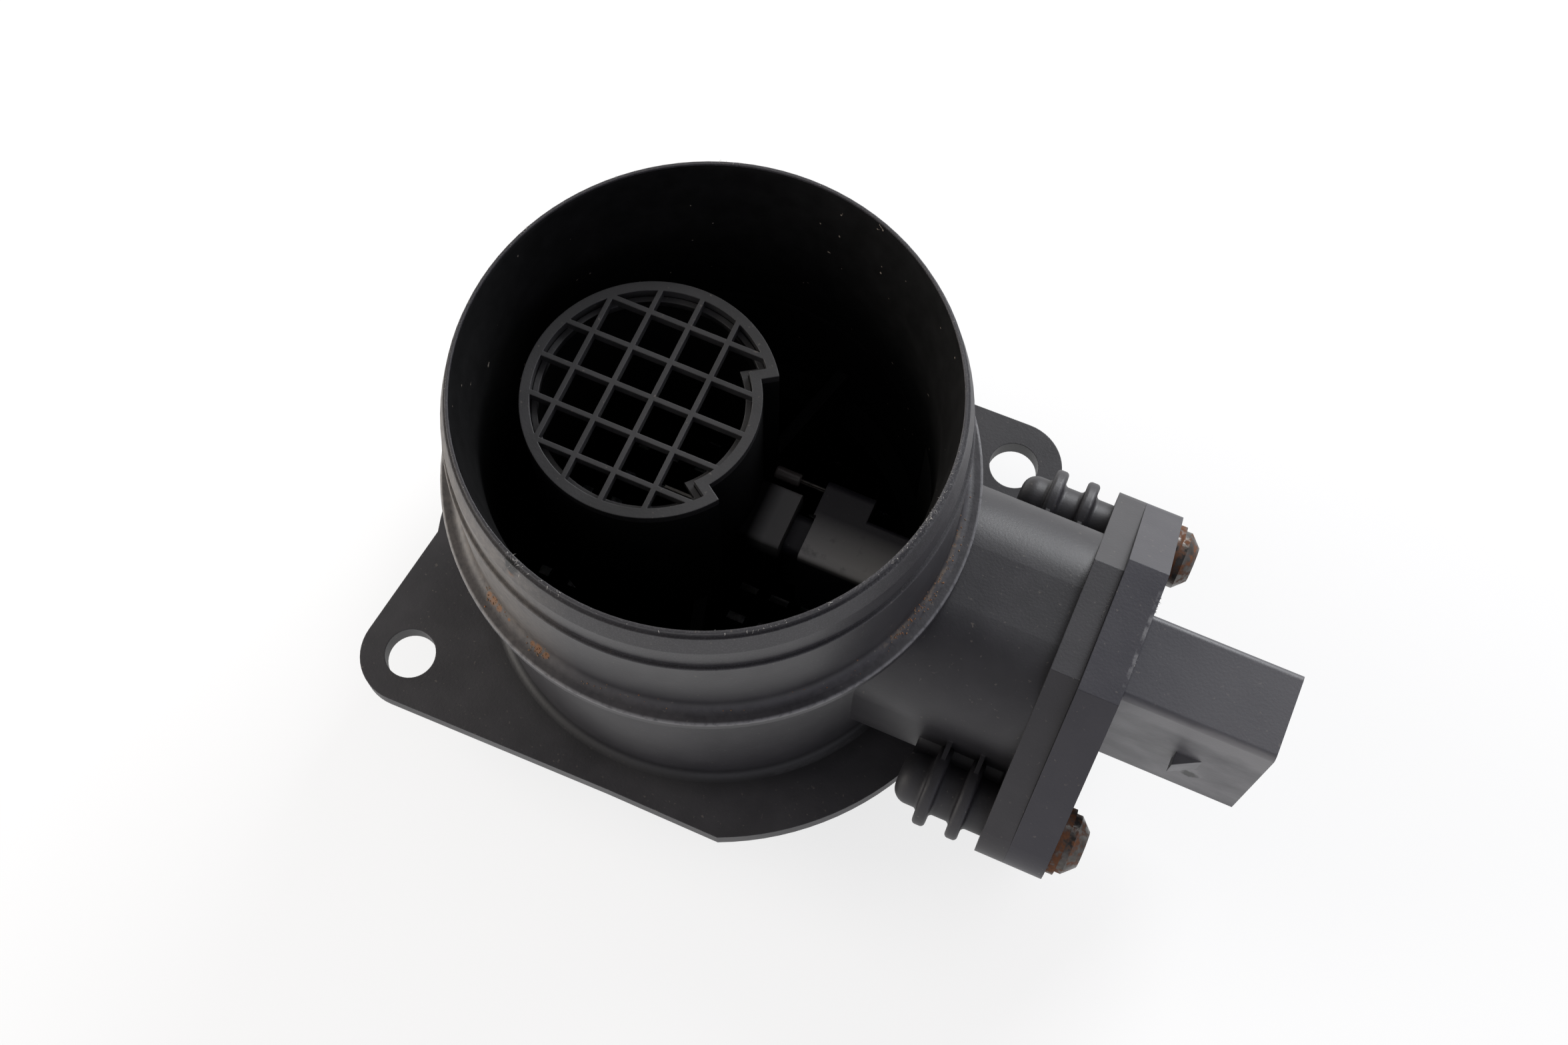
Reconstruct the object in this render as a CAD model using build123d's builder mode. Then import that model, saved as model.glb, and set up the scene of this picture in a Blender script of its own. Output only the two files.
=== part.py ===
"""Mass airflow sensor: a plug-in hot film module in a moulded duct.

Frame: origin on the duct axis at the spigot's lower end, +Z along the duct to
the hose neck, +X towards the plug. Millimetres.
"""
import os
from math import asin, cos, degrees, radians, sin

from build123d import *

# ---------------------------------------------------------------- air duct
bore_radius = 31.0
barrel_wall = 3.6
neck_wall = 4.0
lip_wall = 0.4
lip_ledge = 0.4
lip_height = 1.1
taper_inset = 0.8
taper_height = 3.2
bead_step = 0.6
bead_height = 4.6
neck_length = 24.3
collar_overhang = 3.0
collar_thickness = 2.2
barrel_length = 34.5
mouth_flare = 1.8
mouth_depth = 14.0
root_fillet = 1.4
edge_round = 0.4
ledge_round = 0.2

# ---------------------------------------------------------------- flange and spigot
flange_thickness = 3.2
flange_radius = 44.3
flange_half_width = 40.4
flange_hole_x = 36.6
flange_hole_y = 33.4
flange_hole_radius = 3.9
flange_lug_radius = 7.7
flange_side_angle = 196.2
flange_side_radius = 43.6
spigot_length = 12.0
spigot_land = 1.35
ring_cord = 3.0
ring_squeeze = 0.7
ring_height = 6.5
ring_play = 0.2
insert_play = 0.2
insert_depth = 16.0
insert_shoulder = 1.0

# ---------------------------------------------------------------- side box and its flange
box_length = 23.2
box_side = 2.9
box_roof = 2.9
box_round = 13.5
pad_thickness = 4.3
pad_rise = 12.2
pad_half_height = 23.4
pad_half_flat = 8.6
screw_offset = 5.5
lug_radius = 6.1
boss_radius = 3.9
boss_length = 13.9
boss_end_round = 2.3
rib_radius = 6.0
rib_thickness = 1.9
rib_round = 0.6
rib_pitch = 5.0
rib_count = 2
rib_gap = 2.9

# ---------------------------------------------------------------- sensor module
plate_thickness = 5.8
plate_half_height = 24.4
plate_half_flat = 10.1
module_rise = 4.6
body_width = 29.6
body_height = 28.0
body_depth = 20.3
body_round = 7.5
body_play = 0.3
arm_width = 9.1
arm_height = 20.9
arm_round = 0.7
arm_reach = 15.0
arm_play = 0.4
tip_width = 6.4
tip_height = 14.0
tip_round = 1.5
tip_play = 0.3
shell_width = 13.2
shell_height = 27.0
shell_length = 22.2
shell_wall = 1.5
shell_round = 1.0
socket_depth = 17.0
key_width = 1.6
key_depth = 0.9
key_offset = 7.0
nub_height = 2.1
nub_length = 3.8
nub_width = 3.8
nub_back = 11.5
nub_drop = 0.7
seal_width = 2.2
seal_groove = 2.6
seal_depth = 1.9
seal_back = 2.2
bead_boss_radius = 1.5
bead_boss_length = 7.4
bead_boss_front = 0.4

# ---------------------------------------------------------------- electronics
cavity_back = 6.8
cavity_length = 11.0
cavity_height = 20.4
cavity_floor = 3.0
cover_thickness = 1.2
cover_margin = 1.0
cover_sink = 2.0
cover_play = 0.1
base_thickness = 1.6
board_thickness = 1.0
board_play = 0.25
chip_size = 4.6
chip_height = 1.1
driver_length = 4.0
driver_width = 2.4
driver_height = 0.9
driver_drop = 6.2
capacitor_length = 2.0
capacitor_width = 1.25
capacitor_height = 0.8
capacitor_pitch = 2.3
capacitor_rise = 6.5
pin_count = 5
pin_pitch = 4.2
pin_width = 2.0
pin_thickness = 0.8
pin_length = 13.2
pin_taper = 0.25
pin_overlap = 2.2

# ---------------------------------------------------------------- measuring tube and sensing films
tube_offset = 8.6
tube_radius = 17.4
tube_wall = 1.4
tube_step = 2.45
tube_step_angle = 34.0
tube_bottom = 22.0
tube_top = 64.2
socket_gap = 3.0
fin_thickness = 1.8
fin_height = 20.0
fin_angles = (75.0, 180.0, 285.0)
fin_play = 0.3
carrier_width = 2.2
carrier_height = 4.0
grid_thickness = 1.5
grid_lip = 1.2
grid_lip_wall = 0.8
grid_play = 0.1
grid_pitch = 5.78
grid_rows = 5
grid_bar = 0.7
grid_shift = 0.3
lead_width = 0.8
lead_thickness = 0.4
film_spacing = 8.0
film_lead_gap = 2.6
film_length = 8.5
film_width = 3.4
film_thickness = 0.4
film_start = 0.8
film_overlap = 1.2
lead_overlap = 2.2
bead_radius = 0.95
bead_length = 4.0
bead_round = 0.3
bead_gap = 3.9
bead_lead_radius = 0.2
bead_lead_gap = 0.7
bead_lead_bite = 2.0
bead_standoff = 2.3

# ---------------------------------------------------------------- straightener and snap ring
cell_pitch = 5.2
cell_wall = 0.7
straightener_rim = 1.4
snap_thickness = 0.9
snap_width = 1.7
snap_inset = 0.7
snap_bite = 0.85
snap_play = 0.1
snap_gap_angle = 24.0

# ---------------------------------------------------------------- fasteners
screw_radius = 2.4
screw_length = 14.0
screw_head_radius = 4.4
screw_head_height = 2.7
screw_head_bevel = 1.7
thread_play = 0.05
pilot_extra = 1.0
screw_clearance = 0.3
washer_radius = 4.95
washer_thickness = 1.2
recess_radius = 1.7
recess_depth = 1.5
recess_sides = 6

# ---------------------------------------------------------------- derived places
barrel_radius = bore_radius + barrel_wall
neck_radius = bore_radius + neck_wall
bead_outer = neck_radius - bead_step
taper_outer = bead_outer - taper_inset
lip_radius = taper_outer - lip_ledge
mouth_radius = lip_radius - lip_wall
collar_radius = barrel_radius + collar_overhang
insert_radius = bore_radius + insert_shoulder
spigot_radius = insert_radius + snap_bite + spigot_land + ring_cord - ring_squeeze
flange_top = spigot_length + flange_thickness
collar_bottom = flange_top + barrel_length
collar_top = collar_bottom + collar_thickness
rim_z = collar_top + neck_length
lip_z = rim_z - lip_height
taper_z = lip_z - taper_height
bead_z = taper_z - bead_height
ring_radius = spigot_radius + ring_squeeze - ring_cord / 2

joint_x = barrel_radius + box_length
pad_back = joint_x - pad_thickness
plate_x = joint_x + plate_thickness
body_x = joint_x - body_depth
shell_x = plate_x + shell_length
pad_z = flange_top + pad_rise
module_z = pad_z + module_rise
pocket_width = body_width + 2 * body_play
pocket_height = body_height + 2 * body_play
pocket_round = body_round + body_play
box_width = pocket_width + 2 * box_side
box_height = module_z + pocket_height / 2 + box_roof - spigot_length
screw_y = box_width / 2 + screw_offset
screw_spots = [(screw_y, pad_z), (-screw_y, pad_z)]
flange_spots = [(flange_hole_x, flange_hole_y), (-flange_hole_x, -flange_hole_y)]
seat_x = plate_x + washer_thickness
pilot_depth = screw_length - washer_thickness - plate_thickness + pilot_extra
window_half = arm_width / 2 + bead_standoff + bead_boss_radius + arm_play

cavity_end = joint_x - cavity_back
cavity_x = cavity_end - cavity_length / 2
cavity_start = cavity_end - cavity_length
cover_seat = body_width / 2 - cover_sink - cover_thickness
base_top = base_thickness - cavity_floor
board_top = base_top + board_thickness
pin_rows = [module_z + pin_pitch * (i - (pin_count - 1) / 2) for i in range(pin_count)]
pin_inner = cavity_end - pin_overlap
pin_outer = shell_x - socket_depth + pin_length

step_radius = tube_radius - tube_step
tube_face = step_radius - tube_offset
tube_inner = tube_face - tube_wall
socket_x = arm_reach - socket_gap
carrier_bottom = insert_depth - carrier_height
tip_end = tube_inner - tip_play
film_rows = (module_z + film_spacing / 2, module_z - film_spacing / 2)
lead_rows = [row + side * film_lead_gap / 2 for row in film_rows for side in (1, -1)]
lead_end = film_start - film_overlap
lead_start = cavity_start + lead_overlap
bead_spot = (arm_width / 2 + bead_standoff, module_z + arm_height / 2 - bead_boss_radius)
boss_end = arm_reach - bead_boss_front
bead_end = boss_end - bead_gap
bead_lead_spots = [(bead_spot[0], bead_spot[1] + side * bead_lead_gap / 2) for side in (1, -1)]


def finish(builder, name):
    """Label a finished piece and write it as one STEP file."""
    builder.part.label = name
    export_step(builder.part, f"parts/{name}.step")


def polar(radius, angle):
    """Point at a radius and an angle in degrees."""
    return (radius * cos(radians(angle)), radius * sin(radians(angle)))


def plate_outline(half_height, half_flat):
    """Six-sided plate: flats above and below, rounded ends about the screws."""
    with BuildLine() as outline:
        for spot in screw_spots:
            CenterArc(spot, lug_radius, 0, 360)
        for edge in (half_height, -half_height):
            Line((-half_flat, pad_z + edge), (half_flat, pad_z + edge))
    make_hull(outline.edges())


def flange_lug(spot, sense):
    """Tapered lug that joins a bolt hole to the round flange on one side."""
    side = polar(sense * flange_side_radius, flange_side_angle)
    with BuildLine() as outline:
        CenterArc(spot, flange_lug_radius, 0, 360)
        Line(side, (0, -sense * flange_half_width))
    make_hull(outline.edges())


def duct_outline():
    """Outer half section of spigot, barrel, collar, neck, bead, taper and lip."""
    groove = ring_radius - ring_cord / 2
    low = ring_height - ring_cord / 2 - ring_play
    high = ring_height + ring_cord / 2 + ring_play
    corners = [
        ((0, 0), 0),
        ((spigot_radius, 0), 0),
        ((spigot_radius, low), 0),
        ((groove, low), 0),
        ((groove, high), 0),
        ((spigot_radius, high), 0),
        ((spigot_radius, flange_top), 0),
        ((barrel_radius, flange_top), root_fillet),
        ((barrel_radius, collar_bottom), edge_round),
        ((collar_radius, collar_bottom), edge_round),
        ((collar_radius, collar_top), edge_round),
        ((neck_radius, collar_top), root_fillet),
        ((neck_radius, bead_z), ledge_round),
        ((bead_outer, bead_z), 0),
        ((bead_outer, taper_z), edge_round),
        ((taper_outer, lip_z), 0),
        ((lip_radius, lip_z), 0),
        ((lip_radius, rim_z), 0),
        ((0, rim_z), 0),
    ]
    points = [point for point, _ in corners]
    FilletPolyline(*points, radius=[r for _, r in corners], close=True)


def passage_outline():
    """Half section of the air passage: insert seat, snap groove, bore and flared mouth."""
    groove = insert_radius + snap_bite
    groove_top = snap_inset + snap_thickness + snap_play
    Polyline(
        (0, 0),
        (insert_radius, 0),
        (insert_radius, snap_inset),
        (groove, snap_inset),
        (groove, groove_top),
        (insert_radius, groove_top),
        (insert_radius, insert_depth),
        (bore_radius, insert_depth),
        (bore_radius, rim_z - mouth_depth),
        (mouth_radius, rim_z),
        (0, rim_z),
        (0, 0),
    )


def centred(width, height, rounding, mode=Mode.ADD):
    """Rounded rectangle about the module's axis."""
    with Locations((0, module_z)):
        RectangleRounded(width, height, rounding, mode=mode)


def stepped_circle(inset=0.0, mode=Mode.ADD):
    """Measuring tube outline, drawn in by inset: a circle stepped towards the sensor."""
    centre = (-tube_offset, 0)
    wide, narrow = tube_radius - inset, step_radius - inset
    start = tube_step_angle + degrees(asin(inset / wide))
    turn = tube_step_angle + degrees(asin(inset / narrow))
    with BuildLine() as outline:
        big = CenterArc(centre, wide, start, 360 - 2 * start)
        small = CenterArc(centre, narrow, -turn, 2 * turn)
        Line(big @ 1, small @ 0)
        Line(small @ 1, big @ 0)
    make_face(outline.edges(), mode=mode)


def boss_outline():
    """Half section of a screw boss: round-ended core with rounded ribs about it."""
    corners = [((pad_back, 0), 0), ((pad_back, boss_radius), 0)]
    for index in range(rib_count):
        front = pad_back - rib_gap - index * rib_pitch
        back = front - rib_thickness
        corners += [
            ((front, boss_radius), rib_round),
            ((front, rib_radius), rib_round),
            ((back, rib_radius), rib_round),
            ((back, boss_radius), rib_round),
        ]
    end = pad_back - boss_length
    corners += [((end, boss_radius), boss_end_round), ((end, 0), 0)]
    points = [point for point, _ in corners]
    FilletPolyline(*points, radius=[r for _, r in corners], close=True)


def make_tube_housing():
    """Duct, flange, side box, sensor flange and ribbed screw bosses in one moulding."""
    with BuildPart() as housing:
        with BuildSketch(Plane.XZ):
            with BuildLine():
                duct_outline()
            make_face()
        revolve(axis=Axis.Z)
        with BuildSketch(Plane.XY.offset(spigot_length)):
            Circle(flange_radius)
            Rectangle(2 * flange_radius, 2 * flange_half_width, mode=Mode.INTERSECT)
        extrude(amount=flange_thickness)
        for spot, sense in zip(flange_spots, (-1, 1)):
            with BuildSketch(Plane.XY.offset(spigot_length)):
                flange_lug(spot, sense)
            extrude(amount=flange_thickness)
        with BuildSketch(Plane.YZ):
            with Locations((0, spigot_length + box_height / 2)):
                RectangleRounded(box_width, box_height, box_round)
        extrude(amount=joint_x)
        with BuildSketch(Plane.YZ.offset(pad_back)):
            plate_outline(pad_half_height, pad_half_flat)
        extrude(amount=pad_thickness)
        for y, z in screw_spots:
            with BuildSketch(Plane((0, y, z))):
                with BuildLine():
                    boss_outline()
                make_face()
            revolve(axis=Axis((0, y, z), (1, 0, 0)))
        for index in range(rib_count):
            with BuildSketch(Plane.YZ.offset(pad_back - rib_gap - index * rib_pitch - rib_round)):
                with Locations((0, pad_z)):
                    Rectangle(2 * screw_y, 2 * (rib_radius - rib_round))
            extrude(amount=2 * rib_round - rib_thickness)
        with BuildSketch(Plane.XZ):
            with BuildLine():
                passage_outline()
            make_face()
        revolve(axis=Axis.Z, mode=Mode.SUBTRACT)
        with BuildSketch(Plane.YZ.offset(joint_x)):
            centred(pocket_width, pocket_height, pocket_round)
        extrude(amount=-(body_depth + body_play), mode=Mode.SUBTRACT)
        with BuildSketch(Plane.YZ.offset(joint_x)):
            centred(2 * window_half, arm_height + 2 * arm_play, arm_round + arm_play)
        extrude(amount=-joint_x, mode=Mode.SUBTRACT)
        with BuildSketch(Plane.YZ.offset(joint_x)):
            with Locations(screw_spots):
                Circle(screw_radius + thread_play)
        extrude(amount=-pilot_depth, mode=Mode.SUBTRACT)
        with BuildSketch(Plane.XY.offset(spigot_length)):
            with Locations(flange_spots):
                Circle(flange_hole_radius)
        extrude(amount=flange_thickness, mode=Mode.SUBTRACT)
    finish(housing, "tube_housing")


def make_spigot_ring():
    """O-ring in the spigot groove."""
    with BuildPart() as ring:
        with BuildSketch(Plane.XZ):
            with Locations((ring_radius, ring_height)):
                Circle(ring_cord / 2)
        revolve(axis=Axis.Z)
    finish(ring, "spigot_o_ring")


def make_snap_ring():
    """Split ring that holds the inserts in the spigot."""
    outer = insert_radius + snap_bite - snap_play
    far = 2 * outer
    with BuildPart() as ring:
        with BuildSketch(Plane.XY.offset(snap_inset)):
            Circle(outer)
            Circle(outer - snap_width, mode=Mode.SUBTRACT)
            with BuildLine():
                Polyline(
                    (0, 0),
                    polar(far, 180 - snap_gap_angle / 2),
                    polar(far, 180 + snap_gap_angle / 2),
                    (0, 0),
                )
            make_face(mode=Mode.SUBTRACT)
        extrude(amount=snap_thickness)
    finish(ring, "snap_ring")


def make_straightener():
    """Square-celled flow straightener in a round rim."""
    outer = insert_radius - insert_play
    inner = outer - straightener_rim
    bottom = snap_inset + snap_thickness
    rows = int(inner / cell_pitch + 0.5)
    lines = [cell_pitch * (i + 0.5) for i in range(-rows, rows)]
    with BuildPart() as straightener:
        with BuildSketch(Plane.XY.offset(bottom)):
            with Locations([(0, y) for y in lines]):
                Rectangle(2 * outer, cell_wall)
            with Locations([(x, 0) for x in lines]):
                Rectangle(cell_wall, 2 * outer)
            Circle(inner + straightener_rim / 2, mode=Mode.INTERSECT)
        extrude(amount=carrier_bottom - bottom)
        with BuildSketch(Plane.XY.offset(bottom)):
            Circle(outer)
            Circle(inner, mode=Mode.SUBTRACT)
        extrude(amount=carrier_bottom - bottom)
    finish(straightener, "flow_straightener")


def make_measuring_tube():
    """Inner tube with the arm socket, three fins and the carrier ring."""
    fins = [Location((0, 0, 0), (0, 0, angle)) for angle in fin_angles]
    with BuildPart() as tube:
        with BuildSketch(Plane.XY.offset(carrier_bottom)):
            with Locations(fins):
                Rectangle(bore_radius - fin_play, fin_thickness, align=(Align.MIN, Align.CENTER))
        extrude(amount=fin_height)
        with BuildSketch(Plane.XY.offset(tube_bottom)):
            stepped_circle()
        extrude(amount=tube_top - tube_bottom)
        with BuildSketch(Plane.YZ.offset(tube_inner)):
            centred(arm_width, arm_height, arm_round)
        extrude(amount=socket_x - tube_inner)
        with BuildSketch(Plane.XY.offset(carrier_bottom)):
            stepped_circle(tube_wall)
        extrude(amount=tube_top - carrier_bottom, mode=Mode.SUBTRACT)
        with BuildSketch(Plane.XY.offset(carrier_bottom)):
            Circle(insert_radius - insert_play)
            Circle(insert_radius - insert_play - carrier_width, mode=Mode.SUBTRACT)
        extrude(amount=carrier_height)
        with BuildSketch(Plane.YZ.offset(socket_x)):
            centred(tip_width + 2 * tip_play, tip_height + 2 * tip_play, tip_round + tip_play)
        extrude(amount=tube_inner - tube_wall - socket_x, mode=Mode.SUBTRACT)
    finish(tube, "measuring_tube")


def make_flow_grid():
    """Grid that closes the measuring tube's mouth, with a locating lip below."""
    lip = tube_wall + grid_play
    rows = [grid_pitch * (i - (grid_rows - 1) / 2) for i in range(grid_rows)]
    columns = [grid_shift - tube_offset + x for x in rows[:-1]]
    with BuildPart() as grid:
        with BuildSketch(Plane.XY.offset(tube_top)):
            stepped_circle()
            stepped_circle(tube_wall, Mode.SUBTRACT)
        extrude(amount=grid_thickness)
        with BuildSketch(Plane.XY.offset(tube_top)):
            with Locations([(-tube_offset, y) for y in rows]):
                Rectangle(2 * tube_radius, grid_bar)
            with Locations([(x, 0) for x in columns]):
                Rectangle(grid_bar, 2 * tube_radius)
            stepped_circle(tube_wall / 2, Mode.INTERSECT)
        extrude(amount=grid_thickness)
        with BuildSketch(Plane.XY.offset(tube_top)):
            stepped_circle(lip)
            stepped_circle(lip + grid_lip_wall, Mode.SUBTRACT)
        extrude(amount=-grid_lip)
    finish(grid, "flow_grid")


def add_connector_shell():
    """Plug socket with two key ribs and a latch wedge on its front face."""
    inner_width = shell_width - 2 * shell_wall
    inner_height = shell_height - 2 * shell_wall
    with BuildSketch(Plane.YZ.offset(plate_x)) as shell:
        centred(shell_width, shell_height, shell_round)
    extrude(shell.sketch, amount=shell_length)
    with BuildSketch(Plane.YZ.offset(shell_x)) as socket:
        centred(inner_width, inner_height, shell_round)
    extrude(socket.sketch, amount=-socket_depth, mode=Mode.SUBTRACT)
    with BuildSketch(Plane.YZ.offset(shell_x)) as keys:
        for side in (-1, 1):
            with Locations((-inner_width / 2, module_z + side * key_offset)):
                Rectangle(key_depth, key_width, align=(Align.MIN, Align.CENTER))
    extrude(keys.sketch, amount=-socket_depth)
    nub_x = shell_x - nub_back
    face_y = -shell_width / 2
    with BuildSketch(Plane.XY.offset(module_z - nub_drop - nub_width / 2)) as nub:
        with BuildLine():
            Polyline(
                (nub_x, face_y),
                (nub_x, face_y - nub_height),
                (nub_x + nub_length, face_y),
                (nub_x, face_y),
            )
        make_face()
    extrude(nub.sketch, amount=nub_width)


def cut_electronics_cavity():
    """Board cavity open to one side, with a rebate for its cover."""
    with BuildSketch(Plane.XZ.offset(cavity_floor)) as cavity:
        with Locations((cavity_x, module_z)):
            Rectangle(cavity_length, cavity_height)
    extrude(cavity.sketch, amount=-(cavity_floor + body_width / 2), mode=Mode.SUBTRACT)
    with BuildSketch(Plane.XZ.offset(-cover_seat)) as rebate:
        with Locations((cavity_x, module_z)):
            Rectangle(cavity_length + 2 * cover_margin, cavity_height + 2 * cover_margin)
    extrude(rebate.sketch, amount=-(cover_thickness + cover_sink), mode=Mode.SUBTRACT)


def terminal_bars(mode=Mode.ADD):
    """Five flat contact bars from the board to the socket."""
    with BuildSketch(Plane.YZ.offset(pin_inner)) as bars:
        with Locations([(0, row) for row in pin_rows]):
            Rectangle(pin_thickness, pin_width)
    extrude(bars.sketch, amount=pin_outer - pin_inner, mode=mode)


def film_bars(mode=Mode.ADD):
    """Four thin bars from the board through the arm to the films."""
    with BuildSketch(Plane.YZ.offset(lead_end)) as bars:
        with Locations([(-lead_thickness / 2, row) for row in lead_rows]):
            Rectangle(lead_thickness, lead_width)
    extrude(bars.sketch, amount=lead_start - lead_end, mode=mode)


def bead_wires(mode=Mode.ADD):
    """Two wires from the arm's side boss to the temperature bead."""
    with BuildSketch(Plane.YZ.offset(bead_end)) as wires:
        with Locations(bead_lead_spots):
            Circle(bead_lead_radius)
    extrude(wires.sketch, amount=bead_gap + bead_lead_bite, mode=mode)


def make_sensor_body():
    """Plug-in body: plate, sealed block, arm, tip, bead boss and connector shell."""
    with BuildPart() as body:
        with BuildSketch(Plane.YZ.offset(joint_x)):
            plate_outline(plate_half_height, plate_half_flat)
        extrude(amount=plate_thickness)
        with BuildSketch(Plane.YZ.offset(joint_x)):
            centred(body_width, body_height, body_round)
        extrude(amount=-body_depth)
        with BuildSketch(Plane.YZ.offset(joint_x - seal_back)):
            centred(body_width, body_height, body_round)
            centred(
                body_width - 2 * seal_depth,
                body_height - 2 * seal_depth,
                body_round - seal_depth,
                Mode.SUBTRACT,
            )
        extrude(amount=-seal_groove, mode=Mode.SUBTRACT)
        with BuildSketch(Plane.YZ.offset(body_x)):
            centred(arm_width, arm_height, arm_round)
        extrude(amount=arm_reach - body_x)
        with BuildSketch(Plane.YZ.offset(arm_reach)):
            centred(tip_width, tip_height, tip_round)
        extrude(amount=tip_end - arm_reach)
        with BuildSketch(Plane.YZ.offset(boss_end)):
            with Locations(bead_spot):
                Circle(bead_boss_radius)
                Rectangle(2 * bead_standoff, 2 * bead_boss_radius, align=(Align.MAX, Align.CENTER))
        extrude(amount=bead_boss_length)
        add_connector_shell()
        cut_electronics_cavity()
        with BuildSketch(Plane.YZ.offset(joint_x)):
            with Locations(screw_spots):
                Circle(screw_radius + screw_clearance)
        extrude(amount=plate_thickness, mode=Mode.SUBTRACT)
        terminal_bars(Mode.SUBTRACT)
        film_bars(Mode.SUBTRACT)
        bead_wires(Mode.SUBTRACT)
    finish(body, "sensor_body")


def make_body_seal():
    """Rectangular ring in the groove of the plug-in block."""
    with BuildPart() as seal:
        with BuildSketch(Plane.YZ.offset(joint_x - seal_back - (seal_groove - seal_width) / 2)):
            centred(pocket_width, pocket_height, pocket_round)
            centred(
                body_width - 2 * seal_depth,
                body_height - 2 * seal_depth,
                body_round - seal_depth,
                Mode.SUBTRACT,
            )
        extrude(amount=-seal_width)
    finish(seal, "body_seal")


def make_terminals():
    """Contact bars with tapered ends in the plug socket."""
    with BuildPart() as terminals:
        terminal_bars()
        chamfer(terminals.faces().sort_by(Axis.X)[-pin_count:].edges(), length=pin_taper)
    finish(terminals, "terminals")


def make_film_leads():
    """Leads that carry the two sensing films."""
    with BuildPart() as leads:
        film_bars()
    finish(leads, "film_leads")


def make_film(row, name):
    """Flat sensing film on the front faces of its two leads."""
    with BuildPart() as film:
        with BuildSketch(Plane.XZ.offset(lead_thickness)):
            with Locations((film_start - film_length / 2, row)):
                Rectangle(film_length, film_width)
        extrude(amount=film_thickness)
    finish(film, name)


def make_temperature_bead():
    """Glass bead of the air temperature sensor."""
    with BuildPart() as bead:
        with BuildSketch(Plane.YZ.offset(bead_end)):
            with Locations(bead_spot):
                Circle(bead_radius)
        extrude(amount=-bead_length)
        fillet(bead.edges().filter_by(GeomType.CIRCLE), radius=bead_round)
    finish(bead, "air_temperature_bead")


def make_bead_leads():
    """Wires of the air temperature bead."""
    with BuildPart() as leads:
        bead_wires()
    finish(leads, "bead_leads")


def slab(length, height, level, thickness, name, spots=((0, 0),)):
    """Flat pieces in the board cavity, at spots measured from its centre."""
    with BuildPart() as piece:
        with BuildSketch(Plane.XZ.offset(-level)):
            with Locations([(cavity_x + x, module_z + z) for x, z in spots]):
                Rectangle(length, height)
        extrude(amount=-thickness)
    finish(piece, name)


def make_electronics():
    """Base plate, circuit board, its parts and the cavity cover."""
    length = cavity_length - 2 * board_play
    height = cavity_height - 2 * board_play
    lid_length = cavity_length + 2 * (cover_margin - cover_play)
    lid_height = cavity_height + 2 * (cover_margin - cover_play)
    caps = [(0, capacitor_rise + capacitor_pitch * i) for i in (-1, 0, 1)]
    slab(length, height, -cavity_floor, base_thickness, "base_plate")
    slab(length, height, base_top, board_thickness, "circuit_board")
    slab(chip_size, chip_size, board_top, chip_height, "measuring_chip")
    slab(driver_length, driver_width, board_top, driver_height, "heater_driver", [(0, -driver_drop)])
    slab(capacitor_length, capacitor_width, board_top, capacitor_height, "board_capacitors", caps)
    slab(lid_length, lid_height, cover_seat, cover_thickness, "cavity_cover")


def make_plate_screws():
    """Two bevel-headed screws with hexagon recesses."""
    with BuildPart() as screws:
        with BuildSketch(Plane.YZ.offset(seat_x)):
            with Locations(screw_spots):
                Circle(screw_head_radius)
        extrude(amount=screw_head_height)
        chamfer(screws.edges().group_by(Axis.X)[-1], length=screw_head_bevel)
        with BuildSketch(Plane.YZ.offset(seat_x)):
            with Locations(screw_spots):
                Circle(screw_radius)
        extrude(amount=-screw_length)
        with BuildSketch(Plane.YZ.offset(seat_x + screw_head_height)):
            with Locations(screw_spots):
                RegularPolygon(recess_radius, recess_sides)
        extrude(amount=-recess_depth, mode=Mode.SUBTRACT)
    finish(screws, "plate_screws")


def make_screw_washers():
    """Flat washers under the screw heads."""
    with BuildPart() as washers:
        with BuildSketch(Plane.YZ.offset(plate_x)):
            with Locations(screw_spots):
                Circle(washer_radius)
                Circle(screw_radius + screw_clearance, mode=Mode.SUBTRACT)
        extrude(amount=washer_thickness)
    finish(washers, "screw_washers")


os.makedirs("parts", exist_ok=True)
make_tube_housing()
make_spigot_ring()
make_snap_ring()
make_straightener()
make_measuring_tube()
make_flow_grid()
make_sensor_body()
make_body_seal()
make_terminals()
make_film_leads()
make_film(film_rows[0], "hot_film")
make_film(film_rows[1], "reference_film")
make_temperature_bead()
make_bead_leads()
make_electronics()
make_plate_screws()
make_screw_washers()
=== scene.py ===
"""Mass airflow sensor: finishes, worn details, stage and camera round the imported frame.

Every length is in metres in the frame's own axes: origin on the duct axis at the
spigot's lower end, +Z towards the hose neck, +X towards the plug.
"""

import bpy
import numpy as np
from bpy.props import FloatProperty, FloatVectorProperty, IntProperty, PointerProperty
from mathutils import Matrix, Vector


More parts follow.
